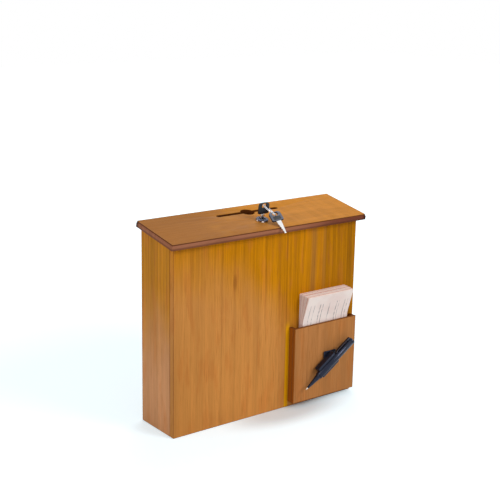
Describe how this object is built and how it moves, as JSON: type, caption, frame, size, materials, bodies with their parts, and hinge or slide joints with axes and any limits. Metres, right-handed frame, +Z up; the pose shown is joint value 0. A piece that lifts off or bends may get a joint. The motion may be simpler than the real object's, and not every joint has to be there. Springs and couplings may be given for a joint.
{
  "type": "suggestion box",
  "caption": "Wooden suggestion box with a sloping hinged lid, letter slot, cam lock with keys, a front card pocket filled with cards and a swivelling pen holder.",
  "frame": {"origin": "middle of the body's base, on the surface that the box stands on", "axes": "+X to the right, +Y to the back, +Z up; the front with the pocket faces -Y"},
  "size_m": [0.4014, 0.1354, 0.364],
  "materials": {
    "front_wood": "honey stained and lacquered, vertical grain with glued staves",
    "side_wood": "honey stained and lacquered, vertical grain",
    "back_wood": "honey stained and lacquered",
    "lid_wood": "honey stained and lacquered, grain along the width, darker rounded edge",
    "pocket_wood": "honey stained and lacquered, vertical grain",
    "pocket_edge_wood": "darker stained edge strips",
    "plated_steel": "zinc plated",
    "lock_chrome": "polished chrome plating",
    "lock_plug_metal": "dark plated lock plug",
    "key_metal": "bright nickel plated",
    "key_plastic": "black moulded bow, slightly blue",
    "ring_steel": "plated spring wire",
    "card": "off-white cards, warm tint",
    "adhesive_foam": "white adhesive foam",
    "holder_plastic": "black moulded plastic",
    "pen_plastic": "black pen, soft gloss",
    "pen_metal": "pale metal point",
    "refill_plastic": "translucent refill tube"
  },
  "bodies": {
    "box": {"front_panel": "front_wood", "left_panel": "side_wood", "right_panel": "side_wood", "back_panel": "back_wood", "bottom_panel": "back_wood", "hinge_left_fixed_leaf": "plated_steel", "hinge_right_fixed_leaf": "plated_steel", "hinge_left_pin": "plated_steel", "hinge_right_pin": "plated_steel", "hinge_left_body_screw_1": "plated_steel", "hinge_left_body_screw_2": "plated_steel", "hinge_right_body_screw_1": "plated_steel", "hinge_right_body_screw_2": "plated_steel", "lock_strike": "plated_steel", "strike_screw_1": "plated_steel", "strike_screw_2": "plated_steel", "pocket_front": "pocket_wood", "pocket_left_side": "pocket_edge_wood", "pocket_right_side": "pocket_edge_wood", "pocket_bottom": "pocket_edge_wood", "pen_holder_pad": "adhesive_foam", "pen_holder_base": "holder_plastic"},
    "lid": {"lid": "lid_wood", "hinge_left_moving_leaf": "plated_steel", "hinge_right_moving_leaf": "plated_steel", "hinge_left_lid_screw_1": "plated_steel", "hinge_left_lid_screw_2": "plated_steel", "hinge_right_lid_screw_1": "plated_steel", "hinge_right_lid_screw_2": "plated_steel", "lock_housing": "lock_chrome", "lock_washer": "plated_steel", "lock_nut": "plated_steel"},
    "plug": {"lock_plug": "lock_plug_metal", "lock_cam": "plated_steel", "cam_screw": "plated_steel"},
    "key_1": {"key_1_blade": "key_metal", "key_1_bow": "key_plastic"},
    "ring": {"key_ring": "ring_steel"},
    "key_2": {"key_2_blade": "key_metal", "key_2_bow": "key_plastic"},
    "cards": {"suggestion_cards_1": "card", "suggestion_cards_2": "card", "suggestion_cards_3": "card", "suggestion_cards_4": "card", "suggestion_cards_5": "card", "suggestion_cards_6": "card", "suggestion_cards_7": "card", "suggestion_cards_8": "card", "suggestion_cards_9": "card", "suggestion_cards_10": "card"},
    "cradle": {"pen_cradle": "holder_plastic", "cradle_rivet": "plated_steel"},
    "pen": {"pen_barrel": "pen_plastic", "pen_nose": "pen_plastic", "pen_point": "pen_metal", "pen_refill": "refill_plastic", "pen_clip": "pen_plastic", "pen_end_cap": "pen_plastic"}
  },
  "joints": [
    {"name": "lid_hinge", "type": "hinge", "parent": "box", "child": "lid", "pos_m": [0, 0.0499, 0.33504], "axis": [-1, 0, 0], "range_deg": [0, 100]},
    {"name": "lock_turn", "type": "hinge", "parent": "lid", "child": "plug", "pos_m": [0, -0.0231, 0.33247], "axis": [0, -0.1736, 0.9848], "range_deg": [-90, 0]},
    {"name": "key_1_slide", "type": "slide", "parent": "plug", "child": "key_1", "axis": [0, -0.1736, 0.9848], "range_m": [0, 0.024]},
    {"name": "ring_follow", "type": "slide", "parent": "lid", "child": "ring", "axis": [0, -0.1736, 0.9848], "range_m": [0, 0.024]},
    {"name": "key_2_swing", "type": "hinge", "parent": "ring", "child": "key_2", "pos_m": [0.01565, -0.03894, 0.34278], "axis": [-0.5166, -0.855, 0.0457], "range_deg": [0, 45]},
    {"name": "cards_lift", "type": "slide", "parent": "box", "child": "cards", "axis": [0, 0, 1], "range_m": [0, 0.11]},
    {"name": "holder_swivel", "type": "hinge", "parent": "box", "child": "cradle", "pos_m": [0.1233, -0.063, 0.0793], "axis": [0, -1, 0], "continuous": true},
    {"name": "pen_slide", "type": "slide", "parent": "cradle", "child": "pen", "axis": [0.8261, 0, 0.5635], "range_m": [0, 0.085]}
  ],
  "couplings": [
    {"joint": "ring_follow", "follows": "key_1_slide", "ratio": 1}
  ]
}
